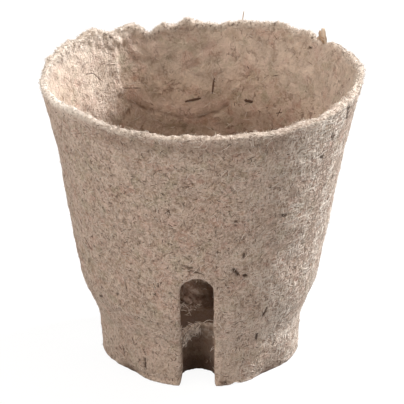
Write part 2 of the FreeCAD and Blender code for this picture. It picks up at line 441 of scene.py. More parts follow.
STALKS = strokes(
    Side.INNER,
    (-8.6, 53.6, -1.4, 54.5, 1.15), (4.3, 59.8, 3.7, 55.8, 0.95), (-38.2, 59.5, -28.9, 58.5, 0.40),
    (18.6, 54.7, 22.6, 54.6, 1.6), (35.1, 53.0, 38.4, 53.6, 0.45), (37.6, 54.6, 35.9, 52.2, 0.40),
    (-57.3, 66.2, -52.1, 65.5, 0.40), (-52.1, 65.5, -47.5, 62.4, 0.40),
) + strokes(
    Side.OUTER,
    (161.8, 66.3, 158.9, 67.1, 0.45), (160.6, 66.8, 160.0, 65.6, 0.40),
    (145.8, 65.6, 144.6, 65.5, 0.60), (151.8, 57.3, 150.6, 57.2, 0.55),
    (167.9, 51.9, 166.7, 52.0, 0.55), (175.2, 44.2, 174.0, 44.3, 0.60),
    (-167.5, 51.1, -169.3, 52.4, 0.45), (-170.8, 48.1, -172.0, 48.1, 0.55),
    (-142.4, 51.0, -144.0, 51.2, 0.55), (-159.1, 65.7, -160.3, 65.8, 0.50),
    (-145.2, 59.1, -146.6, 59.3, 0.45), (-117.6, 70.5, -119.8, 71.0, 0.50),
    (-120.3, 36.7, -122.8, 35.4, 0.50), (-122.6, 35.6, -124.9, 34.1, 0.55),
    (-120.4, 30.8, -119.6, 29.4, 0.50), (-147.9, 32.5, -149.6, 32.8, 0.50),
    (-162.6, 30.9, -162.4, 29.5, 0.50),
)

RIM_CHIPS = strokes(
    Side.RIM,
    (52.9, 72.6, 52.2, 77.7, 2.7), (51.5, 72.6, 50.8, 76.8, 2.7), (49.9, 72.4, 49.6, 74.9, 2.4),
    (14.6, 74.6, 15.3, 77.4, 0.35),
)

# Where the rim stands higher or lower than the CAD's: a bearing, a half width and a rise.
RIM_TRIMS = ((60.0, 4.5, -0.7), (74.5, 6.0, 1.1))

# The top of the damp, browner pulp inside: bearings and heights all the way round.
TIDE_LINE = (
    (-180.0, 46.0), (-120.0, 50.0), (-75.0, 58.0), (-47.0, 60.2), (-36.7, 55.7), (-25.1, 51.6),
    (-12.0, 49.6), (-1.8, 49.3), (6.0, 50.6), (20.0, 53.0), (45.0, 50.0), (90.0, 48.0), (180.0, 46.0),
)


@dataclass(frozen=True)
class Crease:
    """A crease in the inner face, through points given by bearing and height."""

    points: tuple[tuple[float, float], ...]
    width: float
    strength: float


CREASES = (
    Crease(((-41.0, 57.8), (-36.7, 55.7), (-31.0, 54.6)), 0.55, 0.6),
    Crease(
        ((-31.0, 54.6), (-25.1, 51.6), (-12.0, 49.6), (-1.8, 49.3), (6.0, 50.6), (11.0, 53.4)), 0.55, 1.0
    ),
    Crease(((9.0, 56.0), (12.5, 58.6), (16.5, 59.8), (21.0, 62.6)), 0.5, 0.6),
    Crease(((-8.0, 62.0), (0.0, 63.2), (8.0, 65.4)), 0.5, 0.5),
    Crease(((-30.0, 66.0), (-22.0, 64.5), (-12.0, 65.0)), 0.6, 0.4),
    Crease(((-66.0, 58.5), (-60.0, 56.5), (-55.0, 52.0)), 0.6, 0.4),
    Crease(((24.0, 50.5), (29.0, 51.5), (33.0, 50.0)), 0.5, 0.5),
    Crease(((-20.0, 47.4), (-12.0, 46.8), (-4.0, 47.2)), 0.5, 0.5),
)


@dataclass(frozen=True)
class SlotForm:
    """Where the four root slots, their skins and the fluff on them stand, in millimetres."""

    half_width: float = 4.2
    spring: float = 28.8
    nose: float = 20.2
    skin: float = 6.5
    tear_low: float = 10.0
    tear_high: float = 14.2
    tear_start: float = 2.0
    tear_whole: float = 0.4
    wall_inside: float = 23.4
    fade: float = 0.6
    wide_fade: float = 0.8
    wall_fade: float = 1.0
    arch_swell: float = 1.4
    arch_start: float = 0.5
    lip_low: float = 2.8
    lip_high: float = 1.0
    fluff_ends: tuple[Triple, Triple] = ((18.4, -3.3, 9.8), (16.9, -0.6, 11.9))
    fluff_reach: float = 0.9
    back_fluff: float = 0.1
    far_clod: Triple = (-2.6, 14.4, 5.8)
    clod_stretch: Triple = (0.9, 1.0, 0.8)
    clod_reach: float = 2.8

    def turned(self, places: np.ndarray) -> tuple[np.ndarray, np.ndarray]:
        """Turn each point to the slot that it is nearest to.

        Args:
            places: Points in millimetres, one a row.

        Returns:
            How far each point is out along its slot's middle, and how far across it.
        """
        wide = np.abs(places[:, 0]) > np.abs(places[:, 1])
        out = np.where(wide, np.abs(places[:, 0]), np.abs(places[:, 1]))
        across = np.where(wide, places[:, 1], places[:, 0])
        return out, across

    def tear_share(self, places: np.ndarray) -> np.ndarray:
        """Return 1 on the torn top of a skin and 0 away from it."""
        out, across = self.turned(places)
        apart = np.hypot(np.minimum(out - self.nose, 0.0), across)
        ring = ramp(apart, self.half_width - self.fade, self.half_width)
        ring = ring * ramp(apart, self.skin + self.wide_fade, self.skin)
        inside = ramp(out, self.wall_inside + self.wall_fade, self.wall_inside)
        top = ramp(places[:, 2], self.tear_low - self.tear_start, self.tear_low + self.tear_whole)
        return ring * inside * top * (places[:, 2] < self.tear_high + self.wall_fade)

    def jamb_share(self, places: np.ndarray) -> np.ndarray:
        """Return 1 on the sides of a slot, more on its arch, and 0 away from them."""
        out, across = self.turned(places)
        over = np.maximum(places[:, 2] - self.spring, 0.0)
        apart = np.abs(np.hypot(across, over) - self.half_width)
        arch = 1.0 + self.arch_swell * ramp(over, self.arch_start, self.half_width)
        return Band.JAMB.of(apart) * (out > self.nose) * arch

    def fluff_share(self, places: np.ndarray) -> np.ndarray:
        """Return 1 in the middle of the fluff on a skin's torn top and 0 away from it."""
        spots = np.column_stack((*self.turned(places), places[:, 2]))
        share = bell(distance(spots, *np.array(self.fluff_ends)), self.fluff_reach)
        return share * between(self.back_fluff, 1.0, places[:, 1] < self.half_width)

    def clod_share(self, places: np.ndarray) -> np.ndarray:
        """Return 1 in the middle of the clod on the far skin and 0 away from it."""
        away = (places - self.far_clod) * self.clod_stretch
        return bell(np.linalg.norm(away, axis=1), self.clod_reach)

    def lip_share(self, points: WallPoints) -> np.ndarray:
        """Return 1 at the outer edge of a slot and 0 away from it, over a wider lip near the foot."""
        out, across = self.turned(points.places)
        over = np.maximum(points.height - self.spring, 0.0)
        apart = np.abs(np.hypot(across, over) - self.half_width)
        reach = between(self.lip_high, self.lip_low, Band.WIDE_LIP.of(points.height))
        depth = points.outer_radius - points.radius
        return Band.SLOT_LIP.of(np.hypot(apart, depth) / reach) * (out > self.nose)


SLOTS = SlotForm()


@dataclass(frozen=True)
class PulpMarks:
    """The folds, pits, torn layer and coloured zones that mark the pot's pulp; some zones are painted
    light and painted shade.

    Bearings are degrees. A number that is no length or bearing says how strong a mark is.
    """

    crease_radius: float = 34.0
    flap_edge: float = -38.5
    flap_bend: float = 4.0
    flap_drop: tuple[float, float] = (1.7, -1.3)
    flap_breadth: float = 50.0
    lip_roll: float = 0.7
    # How strong the painted shade is under the front lip, and on the lip at the front and on the right.
    shade_under_lip: float = 1.5
    lip_shade_front: float = 1.2
    lip_shade_right: float = 0.8
    plain_edge: float = 0.5
    torn_depth: float = 1.8
    torn_left_depth: float = 2.4
    pale_tears: float = 0.4
    pale_clots: float = 0.35
    tide_fade: float = 1.2
    damp_top: float = 0.4
    dry_fluff: float = 0.8
    # How much of the painted shade low inside falls on the wall, and how far out the slots' sides are
    # kept lighter.
    low_shade_wall: float = 0.35
    jamb_light_from: float = 19.0
    # How strong the painted light is above the tide line inside and on the torn flap.
    light_above_tide: float = 0.165
    light_on_flap: float = 0.06
    crease_shade_level: float = 0.55
    ledge_rise: float = 2.6
    ledge_spread: float = 3.6
    clod_light: float = 2.8
    # How strong the painted light is on the outer rim at the left, and how pale the inner edge of the
    # chipped rim is.
    rim_light_left: float = 3.5
    pale_chips: float = 5.0
    print_all: float = 0.10
    print_back: float = 0.6

    def creases(self, points: WallPoints, rise: float = 0.0, spread: float = 1.0) -> np.ndarray:
        """Return 1 in the middle of a crease of the inner face and 0 away from it.

        Args:
            points: The points of the pot.
            rise: How far above the creases the share is wanted.
            spread: How many times as wide as the creases themselves.

        Returns:
            A number from 0 to 1 for each point.
        """
        places = points.places - (0.0, 0.0, rise)
        scale = math.radians(1.0) * self.crease_radius
        spots = np.stack((points.bearing * scale, places[:, 2]), axis=1)
        spots += np.stack((Relief.CREASE_ROUND.at(places), Relief.CREASE_UP.at(places)), axis=1)
        share = np.zeros(len(places))
        for crease in CREASES:
            corners = np.array(crease.points) * (scale, 1.0)
            for start, end in itertools.pairwise(corners):
                away = distance(spots, start, end) / crease.width
                share = np.maximum(share, crease.strength * bell(away, spread))
        return share

    def pits(self, points: WallPoints, outside: np.ndarray, form: PotForm) -> np.ndarray:
        """Return 1 in a pit of the wall and 0 away from it, with ragged edges.

        Args:
            points: The points of the pot.
            outside: From 0 on the inner face to 1 on the outer one.
            form: The measured pot.

        Returns:
            A number from 0 to 1 for each point.
        """
        ragged = Relief.PIT_EDGE.at(points.places)
        share = np.zeros(len(points.places))
        for pit in PITS:
            (turn, low), (end_turn, high) = pit.start, pit.end
            scale = math.radians(1.0) * float(form.outer_radius(np.array(low)))
            spots = np.stack((past(points.bearing, turn) * scale, points.height - low), axis=1)
            span = np.array(((end_turn - turn) * scale, high - low))
            apart = distance(spots, np.zeros(2), span) / (0.5 * pit.width)
            on_side = outside if pit.side is Side.OUTER else 1.0 - outside
            share = np.maximum(share, on_side * Band.PIT.of(apart + ragged))
        return share

    def flap(self, points: WallPoints) -> np.ndarray:
        """Return how thick the torn layer of dried pulp is on the left of the inner face.

        Args:
            points: The points of the pot.

        Returns:
            A number from 0 to 1 for each point, which drops at once at the layer's ragged edge.
        """
        edge = self.flap_edge - self.flap_bend * Band.FLAP_BEND.of(points.height)
        edge += Relief.FLAP_EDGE.at(points.places)
        start, end = self.flap_drop
        drop = ramp(points.bearing, edge + start, edge + end)
        whole = ramp(points.bearing, edge - self.flap_breadth, edge - 0.5 * self.flap_breadth)
        return drop * whole * Band.FLAP_TOP.of(points.height)

    def zones(self, points: WallPoints, form: PotForm) -> dict[str, np.ndarray]:
        """Find how much of each of the pulp's colours shows at each point.

        Args:
            points: The points of the pot.
            form: The measured pot.

        Returns:
            For the name of each zone, a number for each point.
        """
        places, height, bearing, below = points.places, points.height, points.bearing, points.below
        lip = Band.LIP.of(below)
        outer = Band.OUTER_FACE.of(points.out - self.lip_roll * lip)
        inner = 1.0 - outer
        clod = SLOTS.clod_share(places)
        tears = self.pale_tears * SLOTS.tear_share(places)
        # The fluff and the far clod in the slots, painted paler partly to stand in for the light they
        # lack.
        fluff_and_lit_clod = np.maximum.reduce((tears, SLOTS.fluff_share(places), clod))
        flap = self.flap(points) * inner
        crease_shade = self.creases(points)
        chipped = Stretch.CHIPPED.of(bearing)
        turns, heights = np.array(TIDE_LINE).T
        tide = np.interp(bearing, turns, heights) + Relief.TIDE.at(places)
        crease_band_and_clod_light = self.creases(points, self.ledge_rise, self.ledge_spread) * inner
        # Painted shade in the hollows between the clots and in the creases inside.
        crevice_shade = Band.CREVICE_SHADE.of(Relief.CLOTS.at(places)) + crease_shade
        rim_light = self.rim_light_left * Stretch.LIT_RIM_LEFT.of(bearing) * Band.RIM_LIGHT_DEPTH.of(below)
        pale_chips = self.pale_chips * chipped * Band.CHIPPED_LIP.of(below)
        print_back = self.print_back * Stretch.PRINTED_BACK.of(bearing)
        return {
            "outer_face": outer,
            "torn_edge_and_clod_light": self.torn_edge_and_clod_light(points, fluff_and_lit_clod, flap),
            # Painted light: paler above the tide line inside, on the torn flap where the key light
            # falls, and on the lip at the left.
            "painted_light": self.light_above_tide * Band.LIT_ABOVE_TIDE.of(height - tide) * inner
            + self.light_on_flap * flap + lip * Stretch.LIT_LIP.of(bearing),
            # Painted shade: a dark line along each crease of the inner face.
            "crease_shade": Band.CREASE_SHADE.of(crease_shade) * inner * Relief.CREASE_SHADE.at(places, self.crease_shade_level),
            # A rose band above the creases, and on the far clod in the slot a paler rose that is painted
            # light, since little light reaches it.
            "crease_band_and_clod_light": np.maximum(crease_band_and_clod_light, self.clod_light * clod),
            # Painted shade: darker low inside and in the slots, lighter on the slots' sides.
            "low_shade": self.low_shade(places) * inner * (1.0 - fluff_and_lit_clod),
            # Painted light low on the outside, for light thrown up by the floor, and on the rim at the
            # left; the inner edge of the chipped rim is paler too.
            "foot_light_and_pale_rim": outer * (Band.FOOT_LIGHT.of(height) + rim_light)
            + pale_chips * Band.CHIPPED_INSIDE.of(points.out),
            "weathered": chipped * Band.CHIPPED_RIM.of(below) * Band.CHIPPED_OUTSIDE.of(points.out),
            "crevice_shade": crevice_shade * inner + self.painted_lip_shade(points, lip, outer),
            # Browner inside: wet pulp just below the tide line, and painted shade that grows further
            # down.
            "damp_and_depth_shade": self.damp_and_depth_shade(height, tide) * inner * (1.0 - self.dry_fluff * fluff_and_lit_clod),
            "pit": self.pits(points, outer, form),
            # The screen's print, painted paler and strongest on the right where the key light falls, and
            # on the back: partly painted highlight.
            "print_and_highlight": outer * (self.print_all + Stretch.PRINT_LIT_RIGHT.of(bearing) + print_back),
        }

    def torn_edge_and_clod_light(self, points: WallPoints, fluff_and_lit_clod: np.ndarray, flap: np.ndarray) -> np.ndarray:
        """Return how pale and torn the pulp is: at the rim, on the skins and on the clotted flap; on the
        fluff and the far clod in the slots the paleness is partly painted light.
        """
        back = between(self.plain_edge, 1.0, Band.PALE_BACK.of(points.cosine))
        depth = self.torn_depth + self.torn_left_depth * Stretch.TORN_LEFT.of(points.bearing)
        clotted = self.pale_clots * flap * Band.CLOTTED_FLAP.of(points.bearing)
        return np.maximum.reduce((Band.TORN_EDGE.of(points.below / depth) * back, fluff_and_lit_clod, clotted))

    def low_shade(self, places: np.ndarray) -> np.ndarray:
        """Return how much painted shade darkens the pulp low inside, less on the sides of the slots so
        that they look lit.
        """
        out, across = SLOTS.turned(places)
        floor = Band.FLOOR_SHADE.of(places[:, 2])
        low_shade = self.low_shade_wall * Band.WALL_SHADE.of(places[:, 2]) + (1.0 - self.low_shade_wall) * floor
        return low_shade * (1.0 - Band.LIT_JAMBS.of(np.abs(across)) * (out > self.jamb_light_from))

    def damp_and_depth_shade(self, height: np.ndarray, tide: np.ndarray) -> np.ndarray:
        """Return how brown the pulp is inside: a little at once below the tide line, where it is wet,
        and more further down, which is painted shade.
        """
        at_once = self.damp_top * ramp(height, tide + self.tide_fade, tide - self.tide_fade)
        return at_once + (1.0 - self.damp_top) * Band.SOAKED_AND_SHADE.of(height - tide)

    def painted_lip_shade(self, points: WallPoints, lip: np.ndarray, outer: np.ndarray) -> np.ndarray:
        """Return painted shade on the outside: under the lip at the front, and on the lip itself at the
        front and on the right.
        """
        front = np.abs(points.bearing)
        shade = Band.SHADE_UNDER_LIP.of(points.below) * Band.OVER_WALL.of(points.below)
        shade *= Band.FRONT_WALL.of(front)
        on_lip = self.lip_shade_front * Band.FRONT_LIP.of(front)
        on_lip += self.lip_shade_right * Stretch.SHADED_LIP_RIGHT.of(points.bearing)
        return self.shade_under_lip * shade * outer + lip * on_lip


@dataclass(frozen=True)
class MouldedPot:
    """The pot's own wall, with the dents, felted lumps and torn rim of pressed pulp.

    Points nearer to the pot's axis than its hub are moved outward less.
    """

    wall: float = 2.2
    voxel: float = 0.45
    most_triangles: int = 190000
    crease_depth: float = 0.42
    swell_rise: float = 2.2
    swell_share: float = 0.4
    pit_depth: float = 0.3
    front_tear: float = 0.35
    foot_spread: float = 0.9
    foot_chew: float = 0.6
    foot_whole: float = 0.1
    roll: float = 0.2
    flap_height: float = 0.6
    fluff_height: float = 0.5
    clod_height: float = 1.5
    clod_level: float = 0.6
    jamb_swell: float = 0.2
    soft_rounds: int = 24
    soft_step: float = 0.5
    hub: float = 1.0
    marks: PulpMarks = PulpMarks()

    def copy_node(self, node: bpy.types.Object) -> bpy.types.Object:
        """Copy the CAD node and give it close, even faces.

        Args:
            node: The pot of the frame.

        Returns:
            A new object whose mesh is in metres, in the frame's place.
        """
        pot = node.copy()
        pot.data = node.data.copy()
        for key in list(pot.keys()):
            del pot[key]
        pot.name = "moulded_pot"
        pot.parent = None
        pot.matrix_world = node.matrix_world
        bpy.context.scene.collection.objects.link(pot)
        remesh = pot.modifiers.new("Even_faces", "REMESH")
        remesh.mode = "VOXEL"
        remesh.voxel_size = self.voxel * MM
        remesh.use_smooth_shade = True
        self.apply(pot)
        return pot

    def apply(self, pot: bpy.types.Object) -> None:
        """Keep what the pot's modifiers make as its mesh, and drop them."""
        graph = bpy.context.evaluated_depsgraph_get()
        made = bpy.data.meshes.new_from_object(pot.evaluated_get(graph))
        pot.modifiers.clear()
        pot.data = made

    def shape(self, mesh: bpy.types.Mesh, form: PotForm) -> None:
        """Work the lumps, dents and tears of the real pulp into the mesh.

        Args:
            mesh: The pot's mesh of even faces.
            form: The measured pot.
        """
        points = WallPoints(read_points(mesh), form)
        places = points.places
        normals = np.empty(len(places) * 3)
        mesh.vertex_normals.foreach_get("vector", normals)
        normals = normals.reshape(-1, 3)
        outward = np.zeros_like(places)
        outward[:, :2] = places[:, :2] / np.maximum(points.radius, self.hub)[:, None]
        core = outward * points.middle[:, None]
        core[:, 2] = points.height
        outside = Band.OUTER_HALF.of(points.out)
        lift = Band.OFF_GROUND.of(points.height)

        moved = places + outward * (Relief.DENTS.at(core) * lift)[:, None]
        moved += normals * (self.wall_relief(points, outside, form) * lift)[:, None]
        edge = Band.TORN_RIM.of(points.below)
        torn = edge * between(self.front_tear, 1.0, Band.TORN_BACK.of(points.cosine))
        moved += normals * (torn * Relief.RIM_FLUFF.at(places))[:, None]
        moved[:, 2] += torn * (Relief.RIM_STEPS.at(core) + Relief.RIM_CRUMBS.at(places))
        for turn, spread, rise in RIM_TRIMS:
            moved[:, 2] += rise * edge * bell(past(points.bearing, turn), spread)
        foot = outside * Band.FOOT_EDGE.of(points.height)
        splayed = self.foot_spread * foot * Band.FRONT_FOOT.of(np.abs(points.bearing))
        moved += outward * splayed[:, None]
        chewed = np.maximum(Relief.CHEWED_FOOT.at(places) - self.foot_whole, 0.0)
        moved[:, 2] += self.foot_chew * foot * chewed
        moved -= outward * (self.inner_swell(points) * (1.0 - outside))[:, None]
        moved += normals * (self.skin_tear(places) * lift)[:, None]
        clod = SLOTS.clod_share(places) * Relief.CLOD.at(places, self.clod_level)
        jambs = self.jamb_swell * lift * SLOTS.jamb_share(places)
        moved += normals * (self.clod_height * clod + jambs)[:, None]
        lips = SLOTS.lip_share(points) * lift
        moved += normals * (lips * Relief.SLOT_LIP.at(places))[:, None]
        moved = self.soften(mesh, moved, lips)
        mesh.vertices.foreach_set("co", (moved * MM).ravel())
        mesh.update()

    def wall_relief(self, points: WallPoints, outside: np.ndarray, form: PotForm) -> np.ndarray:
        """Return the height of the felt outside, of clots and folds inside, and of the pits."""
        clots = Relief.LARGE_CLOTS.at(points.places) + Relief.CLOTS.at(points.places)
        swelling = self.swell_share * self.marks.creases(points, self.swell_rise)
        folded = self.crease_depth * (swelling - self.marks.creases(points))
        relief = outside * Relief.FELT.at(points.places) + (1.0 - outside) * (clots + folded)
        return relief - self.pit_depth * self.marks.pits(points, outside, form)

    def inner_swell(self, points: WallPoints) -> np.ndarray:
        """Return how far the rolled rim and the torn layer of dried pulp stand in from the inner face.
        """
        rolled = Stretch.ROLLED.of(points.bearing) * Band.ROLLED_RIM.of(points.below)
        rolled = rolled * Relief.ROLL.at(points.places, self.roll)
        return rolled + self.flap_height * self.marks.flap(points)

    def skin_tear(self, places: np.ndarray) -> np.ndarray:
        """Return the height of the torn lumps and the fluff on top of the slots' skins."""
        torn = Relief.SKIN_TEAR.at(places)
        fluff = (self.fluff_height + self.fluff_height * torn) * SLOTS.fluff_share(places)
        return torn * SLOTS.tear_share(places) + fluff

    def soften(self, mesh: bpy.types.Mesh, places: np.ndarray, share: np.ndarray) -> np.ndarray:
        """Draw points towards the middle of their neighbours, to round worn edges.

        Args:
            mesh: The mesh whose edges join the points.
            places: Points in millimetres, one a row.
            share: From 0, for a point that stays, to 1.

        Returns:
            The points in their new places.
        """
        ends = np.empty(len(mesh.edges) * 2, dtype=int)
        mesh.edges.foreach_get("vertices", ends)
        first, second = ends.reshape(-1, 2).T
        count = np.bincount(ends, minlength=len(places))
        for _ in range(self.soft_rounds):
            for axis in range(3):
                line = places[:, axis]
                total = np.bincount(first, line[second], len(places))
                total += np.bincount(second, line[first], len(places))
                places[:, axis] = line + self.soft_step * share * (total / count - line)
        return places

    def thin_out(self, pot: bpy.types.Object) -> None:
        """Bring the faces down to at most the set number of triangles, and keep its finest relief."""
        pot.data.calc_loop_triangles()
        faces = len(pot.data.loop_triangles)
        thin = pot.modifiers.new("Fewer_faces", "DECIMATE")
        thin.ratio = min(1.0, self.most_triangles / faces)
        self.apply(pot)
        pot.data.shade_smooth()

    def build(self, node: bpy.types.Object) -> PulpSurface:
        """Make the pot in place of its CAD node, riding on the frame's body.

        Args:
            node: The pot of the frame.

        Returns:
            The surface of the dressed pot.
        """
        pot = self.copy_node(node)
        form = PotForm(read_points(pot.data), self.wall)
        self.shape(pot.data, form)
        self.thin_out(pot)
        zones = self.marks.zones(WallPoints(read_points(pot.data), form), form)
        for name, values in zones.items():
            pot.data.attributes.new(name, "FLOAT", "POINT").data.foreach_set("value", values)
        pot.data.materials.clear()
        pot.data.materials.append(PressedPulp().material(zones))
        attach(pot, BODY)
        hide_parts(NODE)
        LOG.info("%s: %d faces", pot.name, len(pot.data.polygons))
        return PulpSurface(pot.data, form)


class PulpSurface:
    """The dressed pot's surface, for fibres to be laid on."""

    def __init__(self, mesh: bpy.types.Mesh, form: PotForm) -> None:
        """Read the surface.

        Args:
            mesh: The dressed pot's mesh.
            form: The measured pot.
        """
        self.form = form
        mesh.calc_loop_triangles()
        corners = np.empty(len(mesh.loop_triangles) * 3, dtype=int)
        mesh.loop_triangles.foreach_get("vertices", corners)
        self.corners = corners.reshape(-1, 3)
        self.points = read_points(mesh)
        first, second, third = (self.points[self.corners[:, k]] for k in range(3))
        cross = np.cross(second - first, third - first)
        length = np.linalg.norm(cross, axis=1)
        self.areas = length / 2
        self.normals = cross / np.maximum(length, TINY)[:, None]
        self.middles = WallPoints((first + second + third) / 3, form)
        self.tree = BVHTree.FromPolygons(self.points.tolist(), self.corners.tolist())

    def sample(
        self, weights: np.ndarray, count: int, rng: np.random.Generator
    ) -> tuple[np.ndarray, np.ndarray]:
        """Choose points on the surface at random.

        Args:
            weights: How likely each triangle is, for its area.
            count: How many points to choose.
            rng: The seeded source of chance.

        Returns:
            The points and the surface's normals there.
        """
        chance = self.areas * weights
        chosen = rng.choice(len(chance), count, p=chance / chance.sum())
        shares = rng.dirichlet((1.0, 1.0, 1.0), count)
        places = np.einsum("nk,nkc->nc", shares, self.points[self.corners[chosen]])
        return places, self.normals[chosen]

    def nearest(self, places: np.ndarray) -> tuple[np.ndarray, np.ndarray]:
        """Return the nearest point of the surface to each place, and its normal."""
        found = [self.tree.find_nearest(place)[:2] for place in places.tolist()]
        return np.array([tuple(f[0]) for f in found]), np.array([tuple(f[1]) for f in found])


class Pigment(Enum):
    """The colours that pressed wood and peat pulp shows."""

    BODY = "#AF9582"
    LINING_WITH_LIGHT = "#DCC5AD"
    DEEP = "#846C5D"
    PALE = "#E0CBBA"
    PEAT = "#64503F"
    # Brown of wet pulp, also used for painted shade along the creases and low inside.
    SOAKED_AND_SHADE = "#6B4C36"
    BARK = "#4A3527"
    # The brown of the painted shade low inside the pot.
    LOW_SHADE_BROWN = "#50341F"
    RUST = "#A87664"
    MOSS = "#90896C"
    OCHRE = "#8F6F4E"
    ROSE = "#CDB0A2"
    CREAM = "#EDE2D6"


class Sketch:
    """A material's nodes, with each point's place in space and on the wall rolled out flat."""

    def __init__(self, nodes: Graph, radius: float) -> None:
        """Give each point its places in millimetres.

        Args:
            nodes: The material's nodes.
            radius: The radius at which the flat sheet is as long as the wall.
        """
        self.nodes = nodes
        coords = nodes.add("TexCoord", out="Object")
        self.place = nodes.add("VectorMath", {0: coords, 3: 1.0 / MM}, operation="SCALE")
        across, ahead, height = nodes.add("SeparateXYZ", {0: self.place}).node.outputs
        back = nodes.add("Math", {0: ahead, 1: -1.0}, operation="MULTIPLY")
        turn = nodes.add("Math", {0: across, 1: back}, operation="ARCTAN2")
        along = nodes.add("Math", {0: turn, 1: radius}, operation="MULTIPLY")
        flat = nodes.add("VectorMath", {0: self.place, 1: (1.0, 1.0, 0.0)}, operation="MULTIPLY")
        depth = nodes.add("VectorMath", {0: flat}, out="Value", operation="LENGTH")
        self.sheet = nodes.add("CombineXYZ", {0: along, 1: height, 2: depth})

    @functools.cache
    def noise(self, size: float, detail: float, shift: Triple) -> Socket:
        """Return a noise with lumps of a size in millimetres, moved so that no two fall together."""
        moved = self.nodes.add("VectorMath", {0: self.place, 1: shift}, operation="ADD")
        sockets = {"Vector": moved, "Scale": 1.0 / size, "Detail": detail, "Roughness": FINENESS}
        return self.nodes.add("TexNoise", sockets)


@dataclass(frozen=True)
class Blotches:
    """Soft blotches: their size, how fine their edges are, and the noise levels they run between."""

    size: float
    detail: float
    levels: tuple[float, float] = (0.0, 1.0)
    shift: Triple = (0.0, 0.0, 0.0)
    least: float = 0.0

    def draw(self, sketch: Sketch) -> Socket:
        """Return 1 on a blotch and the least share off it."""
        level = sketch.noise(self.size, self.detail, self.shift)
        start, end = self.levels
        return sketch.nodes.add("MapRange", {0: level, 1: start, 2: end, 3: self.least})


@dataclass(frozen=True)
class Curls:
    """Thin lines that curl about like single long fibres: how wide they curl, and half their width."""

    size: float
    width: float
    shift: Triple = (0.0, 0.0, 0.0)
    detail: float = 3.0
    line: float = 0.5

    def draw(self, sketch: Sketch) -> Socket:
        """Return 1 on a line, which follows one level of a noise, and 0 off it."""
        level = sketch.noise(self.size, self.detail, self.shift)
        apart = sketch.nodes.add("Math", {0: level, 1: self.line}, operation="SUBTRACT")
        near = sketch.nodes.add("Math", {0: apart}, operation="ABSOLUTE")
        return sketch.nodes.add("MapRange", {0: near, 1: self.width, 2: 0.0})


@dataclass(frozen=True)
class Streaks:
    """Short fibres at several angles on the sheet, and the noise levels that one runs between."""

    length: float
    width: float
    leans: tuple[float, ...]
    levels: tuple[float, float]
    shift: Triple = (0.0, 0.0, 0.0)
    wobble: float = 0.6
    detail: float = 1.0
    fade: float = 0.5

    def draw(self, sketch: Sketch) -> Socket:
        """Return 1 on a fibre and 0 off it."""
        nodes = sketch.nodes
        moved = nodes.add("VectorMath", {0: sketch.sheet, 1: self.shift}, operation="ADD")
        shrink = (1.0 / self.length, 1.0 / self.width, self.fade)
        start, end = self.levels
        drawn = 0.0
        for lean in self.leans:
            sockets = {"Vector": moved, "Angle": math.radians(lean)}
            turned = nodes.add("VectorRotate", sockets, rotation_type="Z_AXIS")
            shrunk = nodes.add("VectorMath", {0: turned, 1: shrink}, operation="MULTIPLY")
            sockets = {"Vector": shrunk, "Scale": 1.0, "Detail": self.detail, "Distortion": self.wobble}
            cut = nodes.add("MapRange", {0: nodes.add("TexNoise", sockets), 1: start, 2: end})
            drawn = nodes.add("Math", {0: cut, 1: drawn}, operation="MAXIMUM")
        return drawn


@dataclass(frozen=True)
class Flecks:
    """Small flecks with ragged, soft edges, in loose groups, for the spacing of each size."""

    sizes: tuple[float, ...]
    rarity: float
    shift: Triple
    warp: float = 0.9
    warp_detail: float = 2.0
    group_size: float = 6.0
    group_detail: float = 1.0
    group_levels: tuple[float, float] = (0.36, 0.58)
    stragglers: float = 0.25
    edge: tuple[float, float] = (0.32, 0.14)
    fullest: float = 0.4

    def draw(self, sketch: Sketch) -> Socket:
        """Return 1 on a fleck and 0 off it."""
        nodes = sketch.nodes
        moved = nodes.add("VectorMath", {0: sketch.place, 1: self.shift}, operation="ADD")
        sockets = {"Vector": moved, "Scale": 1.0, "Detail": self.warp_detail}
        sockets = {0: nodes.add("TexNoise", sockets, "Color"), 1: (self.warp,) * 3, 2: moved}
        pulled = nodes.add("VectorMath", sockets, operation="MULTIPLY_ADD")
        drawn = 0.0
        for size in self.sizes:
            sockets = {"Vector": pulled, "Scale": 1.0 / size}
            cells = nodes.add("TexVoronoi", sockets).node.outputs
            start, end = self.edge
            near = nodes.add("MapRange", {0: cells["Distance"], 1: start, 2: end})
            chance = nodes.add("SeparateColor", {0: cells["Color"]})
            rare = nodes.add("MapRange", {0: chance, 1: self.rarity, 2: self.fullest * self.rarity})
            fleck = nodes.add("Math", {0: near, 1: rare}, operation="MULTIPLY")
            drawn = nodes.add("Math", {0: fleck, 1: drawn}, operation="MAXIMUM")
        groups = Blotches(
            self.group_size, self.group_detail, self.group_levels, self.shift, self.stragglers
        )
        return nodes.add("Math", {0: drawn, 1: groups.draw(sketch)}, operation="MULTIPLY")


# The noise levels at which a tinted spot begins and is whole.
SPOT = (0.54, 0.64)

